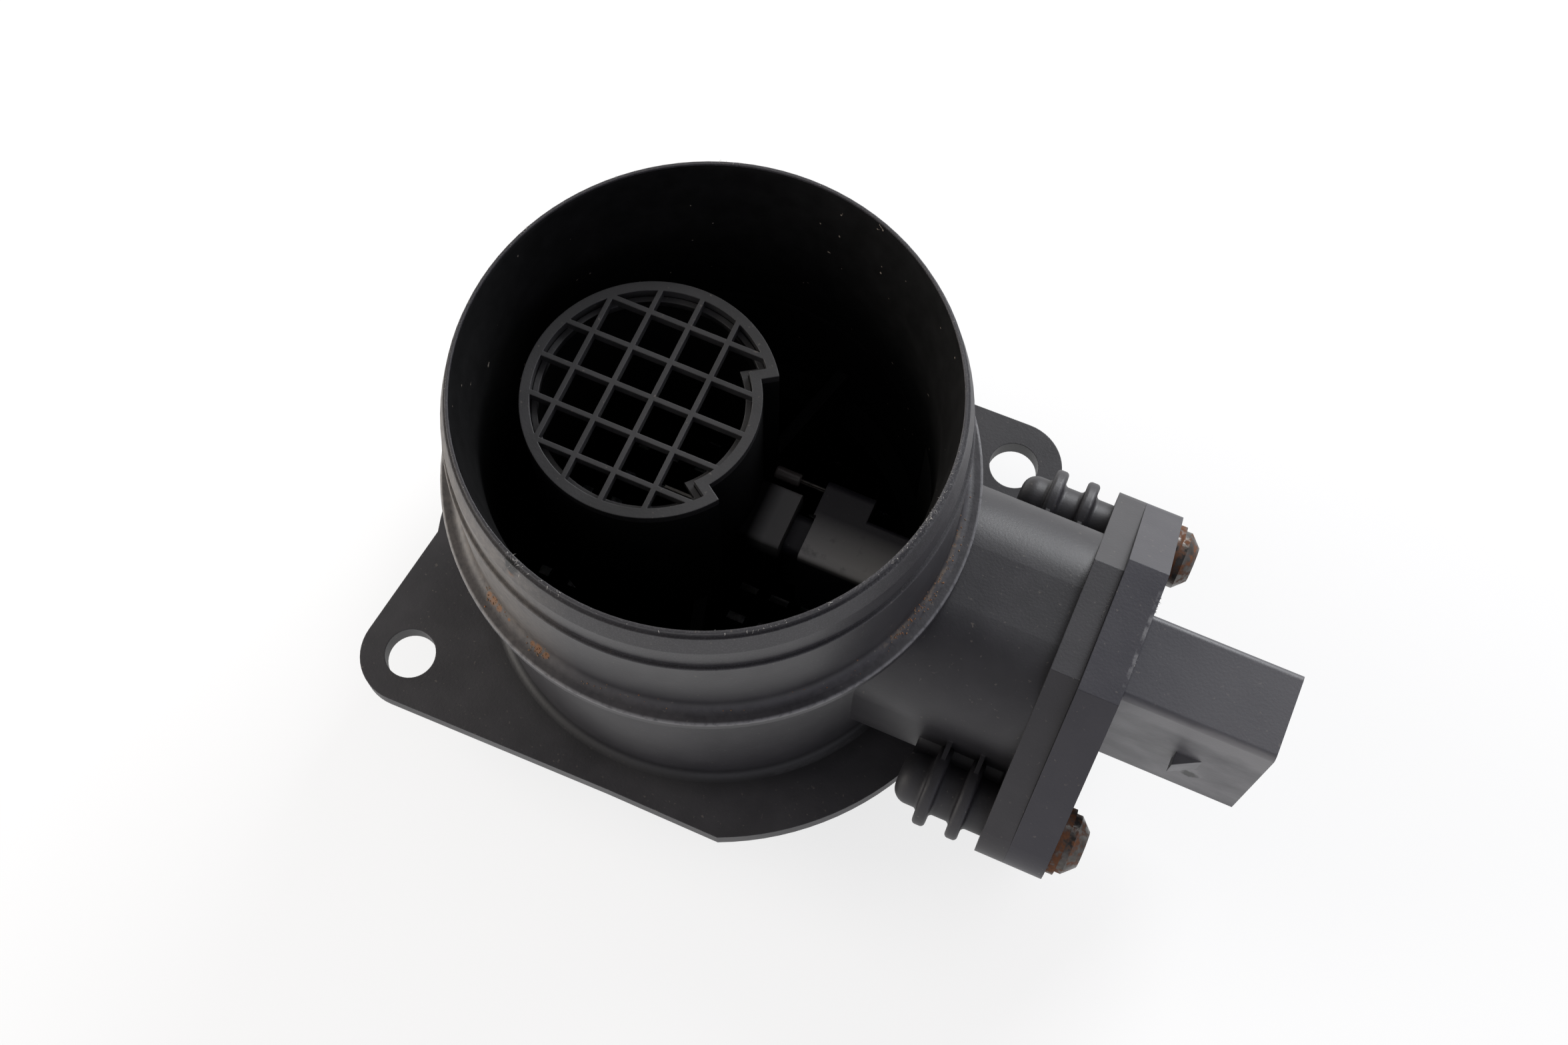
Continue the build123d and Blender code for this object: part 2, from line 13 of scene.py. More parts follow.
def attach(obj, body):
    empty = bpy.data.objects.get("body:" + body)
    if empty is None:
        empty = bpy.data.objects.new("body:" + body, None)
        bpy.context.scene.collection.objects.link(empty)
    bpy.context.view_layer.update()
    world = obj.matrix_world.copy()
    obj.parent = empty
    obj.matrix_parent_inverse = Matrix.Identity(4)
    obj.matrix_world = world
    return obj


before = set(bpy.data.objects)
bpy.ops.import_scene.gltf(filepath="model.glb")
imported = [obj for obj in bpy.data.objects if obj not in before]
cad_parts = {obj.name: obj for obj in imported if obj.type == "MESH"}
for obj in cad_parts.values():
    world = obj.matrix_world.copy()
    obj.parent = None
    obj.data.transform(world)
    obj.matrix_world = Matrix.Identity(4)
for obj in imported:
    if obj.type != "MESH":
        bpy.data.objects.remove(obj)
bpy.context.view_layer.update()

bl_info = {
    "name": "Mass Airflow Sensor Dressing",
    "version": (1, 0, 0),
    "blender": (4, 5, 0),
    "location": "View3D > Sidebar > Sensor",
    "description": "Finishes and worn details for a mass airflow sensor",
    "category": "Object",
}

# ------------------------------------------------------------------ places of the wear
# Spots are a place and a size. Angles run about the duct's axis, from +X towards +Y.

# Limits of the marks. Two numbers are where a mark starts and where it is full, three are
# both ends of a band and its softness. Turns are angles in radians.
# Duct: walls by radius, with painted shade on the bore's wall; neck and lip; painted shade at the
# barrel's foot.
OUTER_WALL, BORE_SHADE_WALL = (0.0322, 0.0328), (0.0325, 0.0315)
NECK_TOP, LIP_TOP, LIP_TURN = (0.0655, 0.0675), (0.0744, 0.0752), (-0.55, 0.15, 0.12)
FOOT_SHADE_HEIGHT, FOOT_SHADE_RADIUS = (0.0178, 0.0155), (0.0385, 0.0352)
# Duct: collar's paler top and its painted edge highlight, grit in the collar's root, painted light
# on the neck's left side, pad.
COLLAR_HEIGHT, COLLAR_RADIUS = (0.0514, 0.0526, 0.0003), (0.0350, 0.0356)
COLLAR_HIGHLIGHT = (0.0372, 0.0375)
ROOT_HEIGHT, ROOT_RADIUS = (0.0516, 0.0527, 0.0003), (0.0353, 0.0356, 0.0002)
ROOT_TURN = (-0.42, 0.12, 0.05)
LIGHT_SIDE_HEIGHT, LIGHT_SIDE_TURN = (0.0525, 0.0740, 0.0015), (-2.75, -1.95, 0.3)
PAD_X = (0.0533, 0.0537)
# Module: connector's shell with rubbed smudges and a painted sheen strip on its side, plate's
# scuffed edge, painted band of light on the arm.
SHELL_X, SHELL_SIDE = (0.0638, 0.0642), (-0.0058, -0.0064)
SHEEN_BELOW, SHEEN_ABOVE = (0.0395, 0.0425), (0.0462, 0.0445)
PLATE_X, PLATE_TOP = (0.0632, 0.0637, 0.0002), (0.0512, 0.0516)
PLATE_FLAT = (-0.0070, 0.0070, 0.0005)
ARM_LIGHT_X, ARM_LIGHT_SIDE, ARM_LIGHT_TOP = (0.0150, 0.0330, 0.0008), (0.0030, -0.0030), (0.0405, 0.0422)
# Measuring tube: the block that takes the arm's end.
BLOCK_X, BLOCK_TOP = (0.0070, 0.0095), (0.0380, 0.0420)

# Rust stains on the collar's top.
RUST_STAINS = (
    ((-0.0192, -0.0299, 0.0523), 0.0006), ((-0.0182, -0.0304, 0.0523), 0.0008),
    ((-0.0171, -0.0311, 0.0523), 0.0006), ((-0.0152, -0.0320, 0.0523), 0.0003),
    ((-0.0108, -0.0337, 0.0523), 0.0005), ((-0.0098, -0.0340, 0.0523), 0.0008),
    ((-0.0085, -0.0344, 0.0522), 0.0006),
)
# Gouge in the neck's taper: torn plastic, a rusty fleck below it and the painted shade of its pit.
GOUGE_TORN = ((-0.0117, -0.0311, 0.0748), 0.0022)
GOUGE_FLECK = ((-0.0119, -0.0312, 0.0729), 0.0010)
GOUGE_PIT_SHADE = ((-0.01197, -0.03103, 0.0742), 0.0017)
# Dent under the connector's wedge: a rubbed edge and the painted shade of its hollow.
DENT_EDGE = ((0.0770, -0.0066, 0.0268), 0.0026)
DENT_HOLLOW_SHADE = ((0.0777, -0.0066, 0.0261), 0.0015)

# Fibres along the lip: how their angles spread in degrees and its two numbers (ends of a
# uniform spread, or middle and deviation of a normal one), how many fibres, and their
# length as a share of the longest.
LIP_FIBRES = (
    ("uniform", -24, 8, 70, 0.5),
    ("normal", -9, 3, 40, 0.7),
    ("uniform", -180, 180, 110, 0.3),
    ("normal", -110, 2.0, 26, 0.7),
    ("normal", -98, 1.5, 8, 1.0),
    ("normal", 110, 1.5, 12, 0.6),
    ("normal", 160, 0.8, 8, 0.6),
    ("normal", -52, 9, 26, 0.8),
)
# Width of the lip's top, and how deep a fibre's root sits in it.
LIP_WIDTH, FIBRE_SINK = 0.0004, 0.00005
# Fibres at the gouge: how many, their share of the longest, middle and deviation of their
# radius and angle, and the ends of their heights.
GOUGE_COUNT, GOUGE_SHARE = 46, 0.9
GOUGE_RADIUS, GOUGE_ANGLE, GOUGE_HEIGHT = (0.0335, 0.0001), (-110.6, 1.1), (0.0722, 0.0752)
# Scuffed edges of pad and plate: both ends of each and how many fibres stand on it.
SCUFFED_EDGES = (
    ((0.0572, 0.0006, 0.0508), (0.0574, 0.0050, 0.0508), 16),
    ((0.0534, -0.0086, 0.0507), (0.0577, -0.0085, 0.0507), 18),
    ((0.0636, 0.0040, 0.0517), (0.0636, 0.0066, 0.0517), 14),
    ((0.0635, -0.0050, 0.0517), (0.0635, -0.0030, 0.0517), 12),
)
SCUFF_SHARE = 0.45

# Grit in the collar's root: spread, its two numbers in degrees, and how many grains.
COLLAR_GRIT = (
    ("uniform", -25, 7, 90),
    ("normal", -121, 2.2, 34),
    ("normal", -105.8, 1.8, 30),
    ("uniform", -100, -25, 26),
    ("uniform", 7, 60, 24),
)
# Ends of the grains' sizes, middle and deviation of their distance from the neck, how far
# their middles stand off the collar, and the radius of the fillet that they climb.
GRAIN_SIZES, GRAIN_OUT, GRAIN_LIFT = (0.00005, 0.00016), (0.0006, 0.0004), 0.00002
ROOT_FILLET = 0.0014

# Window for the module's arm, which the painted bore shade keeps clear of: its height and half its
# width in degrees.
WINDOW_TOP, WINDOW_HALF = 0.0445, 35.0
# Lower end of the painted bore shade, its upper end's distance below the rim, and its points
# round.
BORE_SHADE_FOOT, BORE_SHADE_GAP, BORE_SHADE_TURNS = 0.0240, 0.0003, 288

# Webs beside the bosses: where one leaves the box's wall, how far inside the boss's axis
# it ends, where it starts and ends along x, and how much it flares.
WEB_WALL, WEB_BITE, WEB_ALONG, WEB_FLARE = 0.0174, 0.0028, (0.0402, 0.0536), 0.9

# ------------------------------------------------------------------ small parts and light
# Finishes of the small and hidden parts: name, two colours, roughness, nodes.
SMALL_METALS = (
    ("spring steel", (0.4, 0.4, 0.41), (0.25, 0.25, 0.26), 0.3, ("snap_ring",)),
    ("contact tin", (0.62, 0.6, 0.55), (0.4, 0.38, 0.34), 0.25, ("terminals", "film_leads")),
    ("dull tin", (0.2, 0.19, 0.17), (0.08, 0.075, 0.07), 0.5, ("bead_leads",)),
    ("base sheet", (0.7, 0.7, 0.71), (0.5, 0.5, 0.51), 0.3, ("base_plate",)),
)
SMALL_PLASTICS = (
    ("board laminate", (0.02, 0.11, 0.05), (0.03, 0.16, 0.08), 0.3, ("circuit_board",)),
    ("pale ceramic", (0.62, 0.6, 0.54), (0.7, 0.68, 0.62), 0.4, ("hot_film", "reference_film")),
    ("capacitor ceramic", (0.33, 0.2, 0.11), (0.4, 0.26, 0.15), 0.4, ("board_capacitors",)),
    ("bead resin", (0.09, 0.08, 0.075), (0.2, 0.19, 0.18), 0.25, ("air_temperature_bead",)),
)

# The lamps' places, sizes and tints, and the point that both face.
BACK_LAMP = ((0.22, 0.72, 0.46), 0.42, (0.96, 0.98, 1.0))
LEFT_LAMP = ((-0.75, -0.12, 0.32), 0.5, (1.0, 0.95, 0.89))
LAMP_AIM = (0.02, 0.0, 0.04)
# The surround's tints from -X to +X, and where its side and height ramps start and end.
WARM, COOL = (1.0, 0.955, 0.90), (0.895, 0.895, 1.0)
SIDE_RAMP, HEIGHT_RAMP = (-0.5, 0.35), (0.35, 1.0)
# The floor's plain white leaves out this radius round the object's foot.
FLOOR_SHADE = 0.036
# The camera's place and its three axes: right, down and ahead.
CAMERA_PLACE = (0.0504, -0.0946, 0.2945)
CAMERA_RIGHT = (0.9154, 0.4025, 0.0079)
CAMERA_DOWN = (0.3759, -0.8476, -0.3745)
CAMERA_AHEAD = (-0.1441, 0.3458, -0.9272)


# ------------------------------------------------------------------ settings
def colour(label, text, value):
    """One colour property with its label, description and default."""
    return FloatVectorProperty(name=label, description=text, subtype="COLOR", size=3,
                               min=0.0, max=1.0, default=value)


def length(label, text, value):
    """One length property in metres."""
    return FloatProperty(name=label, description=text, subtype="DISTANCE", unit="LENGTH",
                         default=value)


def share(label, text, value):
    """One plain number between nought and one."""
    return FloatProperty(name=label, description=text, subtype="FACTOR", min=0.0, max=1.0,
                         default=value)


def power(label, text, value):
    """One lamp's power in watts."""
    return FloatProperty(name=label, description=text, subtype="POWER", unit="POWER",
                         default=value)


class SensorFinishes(bpy.types.PropertyGroup):
    """Colours and gloss of the sensor's materials."""

    plastic: colour("Plastic", "Glass-filled black plastic of the duct", (0.0146, 0.0139, 0.0163))
    plastic_pale: colour("Rubbed plastic", "Plastic where it is rubbed", (0.061, 0.058, 0.063))
    module: colour("Module plastic", "Plastic of the plug-in module", (0.0245, 0.0236, 0.031))
    # Pale plastic of rubbed wear, and also the colour of the painted highlight on the collar's
    # edge and of the painted sheen strip on the connector.
    rubbed: colour("Rubbed module plastic", "Connector where hands have paled it",
                   (0.15, 0.148, 0.153))
    # Painted light: a pale band on the arm's top where light falls through the mouth.
    arm_light_band: colour("Light on the arm", "Dust film on the arm across the duct",
                     (0.56, 0.55, 0.54))
    socket: colour("Socket block", "Pale top of the block that takes the arm's end", (0.30, 0.295, 0.29))
    # Painted shade: the bore's two colours darken its wall where it lies in shade.
    soot: colour("Soot", "Oily soot on the wall of the bore", (0.0014, 0.0014, 0.0015))
    bore_shade_pale: colour("Dry soot", "Drier soot on the wall of the bore",
                      (0.0042, 0.0042, 0.0044))
    # Inner plastic, and also the colour of the painted shade at the barrel's foot, in the gouge's
    # pit and in the dent's hollow.
    inner: colour("Inner plastic", "Plastic inside the duct", (0.0025, 0.0025, 0.0028))
    inner_pale: colour("Rubbed inner plastic", "Inner plastic where it is rubbed",
                       (0.012, 0.012, 0.013))
    grid: colour("Grid", "Dusty plastic of the grid", (0.016, 0.016, 0.0165))
    rubber: colour("Rubber", "Rubber of the seals", (0.012, 0.012, 0.012))
    chip: colour("Chips", "Plastic of the chips", (0.02, 0.02, 0.02))
    # Real dust, and also the tint of the painted light on the neck's left side.
    dust: colour("Dust", "Dry road dust", (0.19, 0.165, 0.14))
    grit: colour("Grit", "Tan road grit in the collar's root", (0.15, 0.11, 0.07))
    rust: colour("Rust", "Fresh rust", (0.20, 0.075, 0.025))
    rust_dark: colour("Dark rust", "Old rust", (0.055, 0.026, 0.016))
    stain: colour("Rust stain", "Rust water dried on the plastic", (0.15, 0.062, 0.017))
    steel: colour("Steel", "Dull plated steel", (0.11, 0.105, 0.10))
    steel_dark: colour("Dark steel", "Tarnished steel", (0.05, 0.045, 0.04))
    fibre: colour("Torn fibre", "Bare glass fibre and torn plastic", (0.62, 0.60, 0.56))
    floor: colour("Floor", "Pale floor", (0.86, 0.86, 0.86))
    plastic_roughness: share("Plastic roughness", "Roughness of the duct's plastic", 0.5)
    grain_depth: length("Grain depth", "Depth of the moulded grain", 0.00004)


class SensorWear(bpy.types.PropertyGroup):
    """Places and sizes of the worn details and small webs."""

    seed: IntProperty(name="Seed", description="Seed of the scattered details", default=7)
    rim_radius: length("Rim radius", "Outside radius of the mouth's lip", 0.0332)
    rim_height: length("Rim height", "Height of the mouth's lip", 0.0762)
    fibre_length: length("Fibre length", "Longest torn fibre", 0.0008)
    fibre_width: length("Fibre width", "Thickness of a torn fibre at its root", 0.0001)
    collar_height: length("Collar height", "Height of the collar's top", 0.0519)
    neck_radius: length("Neck radius", "Outside radius of the neck", 0.035)
    boss_height: length("Boss height", "Height of the screw bosses' axes", 0.0274)
    boss_reach: length("Boss reach", "Sideways distance of the screw bosses' axes", 0.0235)
    bore_radius: length("Bore radius", "Radius of the air passage", 0.031)
    mouth_radius: length("Mouth radius", "Inside radius of the mouth at the rim", 0.0328)
    mouth_depth: length("Mouth depth", "Depth over which the mouth flares", 0.014)
    # Half the thickness of the sleeve of painted shade on the bore's wall.
    film: length("Soot film", "Half the thickness of the soot's skin", 0.00004)
    web_thickness: length("Web thickness", "Thickness of a boss's web at its middle", 0.0022)


class SensorStage(bpy.types.PropertyGroup):
    """Light, floor and camera."""

    lens: FloatProperty(name="Lens", description="Focal length of the camera's lens",
                        subtype="DISTANCE_CAMERA", unit="CAMERA", default=43.9)
    sky: FloatProperty(name="Sky", description="Strength of the surround near the horizon",
                       default=0.92)
    zenith: FloatProperty(name="Zenith", description="Strength of the surround overhead",
                          default=0.22)
    back_lamp: power("Back lamp", "Power of the lamp at the back", 7.6)
    left_lamp: power("Left lamp", "Power of the lamp on the left", 6.0)
    floor_glow: share("Floor glow", "Share of the floor that is plain white to the eye", 0.76)
    floor_half: length("Floor", "Half the floor's side", 4.0)


# ------------------------------------------------------------------ node tools
class Nodes:
    """A node tree built a node at a time."""

    def __init__(self, tree):
        self.tree = tree

    def add(self, kind, inputs=None, **settings):
        """Make a node, set its fields, and set or link its inputs."""
        made = self.tree.nodes.new(kind)
        for key, value in settings.items():
            setattr(made, key, value)
        for key, value in (inputs or {}).items():
            self.feed(made.inputs[key], value)
        return made

    def feed(self, socket, value):
        """Link an output to a socket, or set a plain value on it."""
        if isinstance(value, bpy.types.NodeSocket):
            self.tree.links.new(value, socket)
        else:
            socket.default_value = value

    def limits(self, value, low, high, top=1.0):
        """Map a value from low..high to 0..top, held at both ends."""
        return self.add("ShaderNodeMapRange", {"Value": value, "From Min": low,
                        "From Max": high, "To Max": top}).outputs[0]

    def math(self, what, first, second):
        """One arithmetic node."""
        return self.add("ShaderNodeMath", {0: first, 1: second}, operation=what).outputs[0]

    def vector(self, what, first, second=(0.0, 0.0, 0.0)):
        """One vector node whose answer is a number."""
        return self.add("ShaderNodeVectorMath", {0: first, 1: second},
                        operation=what).outputs["Value"]

    def both(self, *masks):
        """Product of several masks."""
        whole = masks[0]
        for mask in masks[1:]:
            whole = self.math("MULTIPLY", whole, mask)
        return whole

    def mix(self, factor, first, second):
        """Blend two colours."""
        made = self.add("ShaderNodeMix", data_type="RGBA")
        self.feed(made.inputs[0], factor)
        self.feed(made.inputs[6], first)
        self.feed(made.inputs[7], second)
        return made.outputs[2]

    def paint(self, shade, tone, *masks):
        """Lay a plain colour over a shade through the product of some masks."""
        return self.mix(self.both(*masks), shade, rgba(tone))


class Recipe(Nodes):
    """One material's node tree, on object coordinates."""

    def __init__(self, name):
        self.material = bpy.data.materials.new(name)
        self.material.use_nodes = True
        super().__init__(self.material.node_tree)
        self.shader = self.tree.nodes["Principled BSDF"]
        self.place = self.add("ShaderNodeTexCoord").outputs["Object"]
        self.x, self.y, self.z = self.add("ShaderNodeSeparateXYZ", {0: self.place}).outputs

    def noise(self, scale, detail=3.0, stretch=None, roughness=0.55):
        """Noise with so many features per metre, stretched where its three scales differ."""
        where = self.place
        if stretch:
            where = self.add("ShaderNodeMapping", {"Vector": where, "Scale": stretch}).outputs[0]
        return self.add("ShaderNodeTexNoise", {"Vector": where, "Scale": scale,
                        "Detail": detail, "Roughness": roughness}).outputs[0]

    def band(self, value, low, high, soft):
        """1 between two limits of a value, with soft ends outside them."""
        return self.both(self.limits(value, low - soft, low),
                         self.limits(value, high + soft, high))

    def radius(self):
        """Distance from the duct's axis."""
        flat = self.add("ShaderNodeCombineXYZ", {0: self.x, 1: self.y}).outputs[0]
        return self.vector("LENGTH", flat)

    def patch(self, spot, size, ragged):
        """Ragged patch round a spot: full to about 0.6 of its size, gone at about its size."""
        gap = self.vector("DISTANCE", self.place, spot)
        torn = self.math("MULTIPLY", ragged, size)
        return self.limits(self.math("ADD", gap, torn), 1.5 * size, 1.1 * size)

    def bump(self, height, strength, distance, normal=None):
        """Bump from a height, on top of another normal when one is given."""
        inputs = {"Height": height, "Strength": strength, "Distance": distance}
        if normal:
            inputs["Normal"] = normal
        return self.add("ShaderNodeBump", inputs).outputs[0]

    def finish(self, **sockets):
        """Set the shader's sockets by name and return the material."""
        for key, value in sockets.items():
            self.feed(self.shader.inputs[key.replace("_", " ")], value)
        return self.material


def rgba(tone):
    """A colour of three numbers as four."""
    return (*tone, 1.0)


def plastic(name, base, pale, roughness, grain=2600.0, dust=None, marks=None, shine=0.5):
    """Moulded plastic: fine grain, slow mottling, rubbed edges that also stand as painted edge
    highlights, dust flecks and its own marks.

    An edge is where the normal rounded over a small radius turns away from the flat one.
    """
    depth = bpy.context.scene.sensor_finishes.grain_depth
    look = Recipe(name)
    slow = look.limits(look.noise(38.0, 4.0), 0.35, 0.7)
    fine = look.noise(grain, 2.0)
    streaks = look.noise(420.0, 4.0, stretch=(1.0, 1.0, 0.25))
    soft = look.add("ShaderNodeBevel", {"Radius": 0.0002}, samples=4).outputs[0]
    hard = look.add("ShaderNodeNewGeometry").outputs["Normal"]
    turn = look.vector("DOT_PRODUCT", soft, hard)
    # Paler edges: rubbed wear that is also a painted edge highlight.
    edge = look.both(look.limits(turn, 0.97, 0.86), look.limits(streaks, 0.42, 0.66))
    cloud = look.limits(look.noise(210.0, 5.0), 0.4, 0.75)
    mottle = look.math("MULTIPLY", look.math("ADD", slow, cloud), 0.16)
    shade = look.mix(mottle, rgba(base), rgba(pale))
    shade = look.paint(shade, pale, edge, 0.5)
    if dust:
        flecks = look.limits(look.noise(1500.0, 2.0), 0.68, 0.76, 0.3)
        shade = look.paint(shade, dust, flecks)
    gloss = look.add("ShaderNodeMapRange", {"Value": slow, "To Min": roughness - 0.05,
                     "To Max": roughness + 0.08}).outputs[0]
    if marks:
        shade, gloss = marks(look, shade, gloss)
    return look.finish(Base_Color=shade, Roughness=gloss, Specular_IOR_Level=shine,
                       Normal=look.bump(fine, 0.5, depth, soft))


def metal(name, base, dark, roughness, rust=0.0):
    """Worked metal: fine grain, tarnish and, where asked, rust that dulls what it covers."""
    look = Recipe(name)
    tarnish = look.limits(look.noise(600.0, 4.0), 0.35, 0.7)
    shade = look.mix(tarnish, rgba(base), rgba(dark))
    if rust:
        f = bpy.context.scene.sensor_finishes
        rusty = look.limits(look.noise(900.0, 5.0), 0.62 - rust, 0.78 - rust)
        crust = look.mix(look.noise(2600.0, 3.0), rgba(f.rust), rgba(f.rust_dark))
        shade = look.mix(rusty, shade, crust)
        bare, gloss = look.limits(rusty, 1.0, 0.0), look.limits(rusty, -0.6, 1.1)
    else:
        bare = 1.0
        gloss = look.add("ShaderNodeMapRange", {"Value": tarnish, "To Min": roughness,
                         "To Max": roughness + 0.15}).outputs[0]
    return look.finish(Base_Color=shade, Metallic=bare, Roughness=gloss,
                       Normal=look.bump(look.noise(1400.0, 4.0), 0.5, 0.00006))


def dress(material, *nodes):
    """Give CAD nodes one material."""
    for node in nodes:
        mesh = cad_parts[node].data
        mesh.materials.clear()
        mesh.materials.append(material)


# ------------------------------------------------------------------ marks
# Each mark is painted over the ones before it. A plain number among its masks is its strength.
def duct_marks(look, shade, gloss):
    """Speckle, painted shade in the bore, at the barrel's foot and in the gouge's pit, a painted
    highlight on the collar's edge, painted light on the neck's left side, rust stains and the
    gouge on the duct.
    """
    f = bpy.context.scene.sensor_finishes
    radius, ragged = look.radius(), look.noise(1100.0, 4.0)
    angle = look.math("ARCTAN2", look.y, look.x)
    outside = look.limits(radius, *OUTER_WALL)

    neck_top = look.both(look.limits(look.z, *NECK_TOP), outside)
    speckle = look.limits(look.noise(5200.0, 2.0, roughness=0.7), 0.5, 0.7)
    shade = look.paint(shade, f.plastic_pale, speckle, neck_top, 0.8)

    worn_lip = look.both(look.limits(look.z, *LIP_TOP), look.band(angle, *LIP_TURN),
                         look.limits(look.noise(5000.0, 3.0), 0.42, 0.7))
    shade = look.paint(shade, f.rubbed, worn_lip, 0.5)

    # Painted shade on the bore's wall, which also dulls its gloss.
    bore = look.limits(radius, *BORE_SHADE_WALL)
    shade = look.paint(shade, f.soot, bore)
    gloss = look.math("MAXIMUM", gloss, look.math("MULTIPLY", bore, 0.85))

    # Painted shade in the corner at the barrel's foot.
    foot_shade = look.both(look.limits(look.z, *FOOT_SHADE_HEIGHT), look.limits(radius, *FOOT_SHADE_RADIUS))
    shade = look.paint(shade, f.inner, foot_shade, 0.75)

    collar_top = look.both(look.band(look.z, *COLLAR_HEIGHT),
                           look.limits(radius, *COLLAR_RADIUS))
    # The collar's top is painted paler in ragged patches.
    shade = look.paint(shade, f.plastic_pale, collar_top, look.limits(ragged, 0.2, 0.6), 0.35)
    # Painted highlight along the collar's outer edge.
    shade = look.paint(shade, f.rubbed, collar_top, look.limits(radius, *COLLAR_HIGHLIGHT),
                       look.limits(ragged, 0.25, 0.5), 0.75)

    # Painted light on the neck's left side, laid in ragged patches of the dust colour.
    painted_light_side = look.both(look.band(angle, *LIGHT_SIDE_TURN), look.band(look.z, *LIGHT_SIDE_HEIGHT),
                           outside, look.limits(ragged, 0.1, 0.7))
    shade = look.paint(shade, f.dust, painted_light_side, 0.45)

    for spot, size in RUST_STAINS:
        shade = look.paint(shade, f.stain, look.patch(spot, size, ragged), 0.85)
    shade = look.paint(shade, f.rubbed, look.patch(*GOUGE_TORN, ragged), speckle)
    shade = look.paint(shade, f.stain, look.patch(*GOUGE_FLECK, ragged))
    # Painted shade in the gouge's pit.
    shade = look.paint(shade, f.inner, look.patch(*GOUGE_PIT_SHADE, ragged))

    pad = look.limits(look.x, *PAD_X, 0.22)
    shade = look.paint(shade, f.plastic_pale, pad)
    gritty_root = look.both(look.band(radius, *ROOT_RADIUS), look.band(look.z, *ROOT_HEIGHT),
                            look.band(angle, *ROOT_TURN), look.limits(ragged, 0.4, 0.6))
    return look.paint(shade, f.grit, gritty_root, 0.45), gloss


def module_marks(look, shade, gloss):
    """Smudges, a painted sheen strip and the dent with its painted shade on the connector, scuffs
    on the plate's edge, a painted band of light on the arm.
    """
    f = bpy.context.scene.sensor_finishes
    smudges = look.limits(look.noise(150.0, 4.0, stretch=(0.6, 1.0, 1.0)), 0.34, 0.66)
    shell = look.limits(look.x, *SHELL_X)
    side = look.both(shell, look.limits(look.y, *SHELL_SIDE))
    # Painted sheen in a strip below the shell's top edge, on top of the rubbed smudges.
    sheen_strip = look.both(look.limits(look.z, *SHEEN_BELOW), look.limits(look.z, *SHEEN_ABOVE))
    rub_and_sheen = look.math("ADD", look.both(smudges, 0.8), look.both(sheen_strip, 0.8))
    rub_and_sheen = look.math("ADD", look.both(rub_and_sheen, side), look.both(shell, 0.22))
    shade = look.paint(shade, f.rubbed, rub_and_sheen)

    chalk = look.noise(900.0, 3.0)
    shade = look.paint(shade, f.rubbed, look.patch(*DENT_EDGE, chalk), side)
    # Painted shade in the dent's hollow.
    shade = look.paint(shade, f.inner, look.patch(*DENT_HOLLOW_SHADE, chalk), side)

    plate_edge = look.both(look.band(look.x, *PLATE_X), look.limits(look.z, *PLATE_TOP),
                           look.band(look.y, *PLATE_FLAT),
                           look.limits(look.noise(700.0, 4.0), 0.4, 0.6))
    shade = look.paint(shade, f.rubbed, plate_edge, 0.8)

    # Painted light: the lit band on the arm's top, which also dulls its gloss.
    film = look.both(look.limits(look.z, *ARM_LIGHT_TOP), look.band(look.x, *ARM_LIGHT_X),
                     look.limits(look.y, *ARM_LIGHT_SIDE),
                     look.limits(look.noise(500.0, 3.0), 0.0, 0.4))
    shade = look.paint(shade, f.arm_light_band, film)
    return shade, look.math("MAXIMUM", gloss, look.math("MULTIPLY", film, 0.8))


def tube_marks(look, shade, gloss):
    """Paler top on the block that takes the arm's end."""
    f = bpy.context.scene.sensor_finishes
    # The block's top and upper end are painted paler.
    block = look.both(look.limits(look.x, *BLOCK_X), look.limits(look.z, *BLOCK_TOP))
    return look.paint(shade, f.socket, block, 0.9), gloss


# ------------------------------------------------------------------ surfaces
def piece(context, name, points, faces, material, smooth=True):
    """Make one closed mesh piece that rides with the sensor's body."""
    mesh = bpy.data.meshes.new(name)
    mesh.from_pydata(points.reshape(-1, 3).tolist(), [], faces)
    mesh.validate()
    mesh.polygons.foreach_set("use_smooth", np.full(len(mesh.polygons), smooth))
    mesh.materials.append(material)
    made = bpy.data.objects.new(name, mesh)
    context.collection.objects.link(made)
    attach(made, "root")


def grid_faces(rings, around, copies=1):
    """Quads between neighbouring rings of a closed tube, and a cap at each end, for each copy."""
    ring, step = np.meshgrid(np.arange(rings - 1), np.arange(around), indexing="ij")
    a, b = ring * around + step, ring * around + (step + 1) % around
    quads = np.stack([a, b, b + around, a + around], -1).reshape(-1, 4)
    caps = np.array([np.arange(around)[::-1], (rings - 1) * around + np.arange(around)])
    faces = []
    for copy in range(copies):
        shift = copy * rings * around
        faces += (quads + shift).tolist() + (caps + shift).tolist()
    return faces


def scatter(rng, runs):
    """Angles in degrees of each run, drawn from its spread."""
    return [getattr(rng, spread)(first, second, count)
            for spread, first, second, count, *_ in runs]


def on_ring(radius, height, degrees):
    """Points on a ring round the duct's axis: radius * (cos a, sin a), at a height."""
    a = np.radians(degrees)
    return np.stack([radius * np.cos(a), radius * np.sin(a), np.broadcast_to(height, a.shape)], -1)


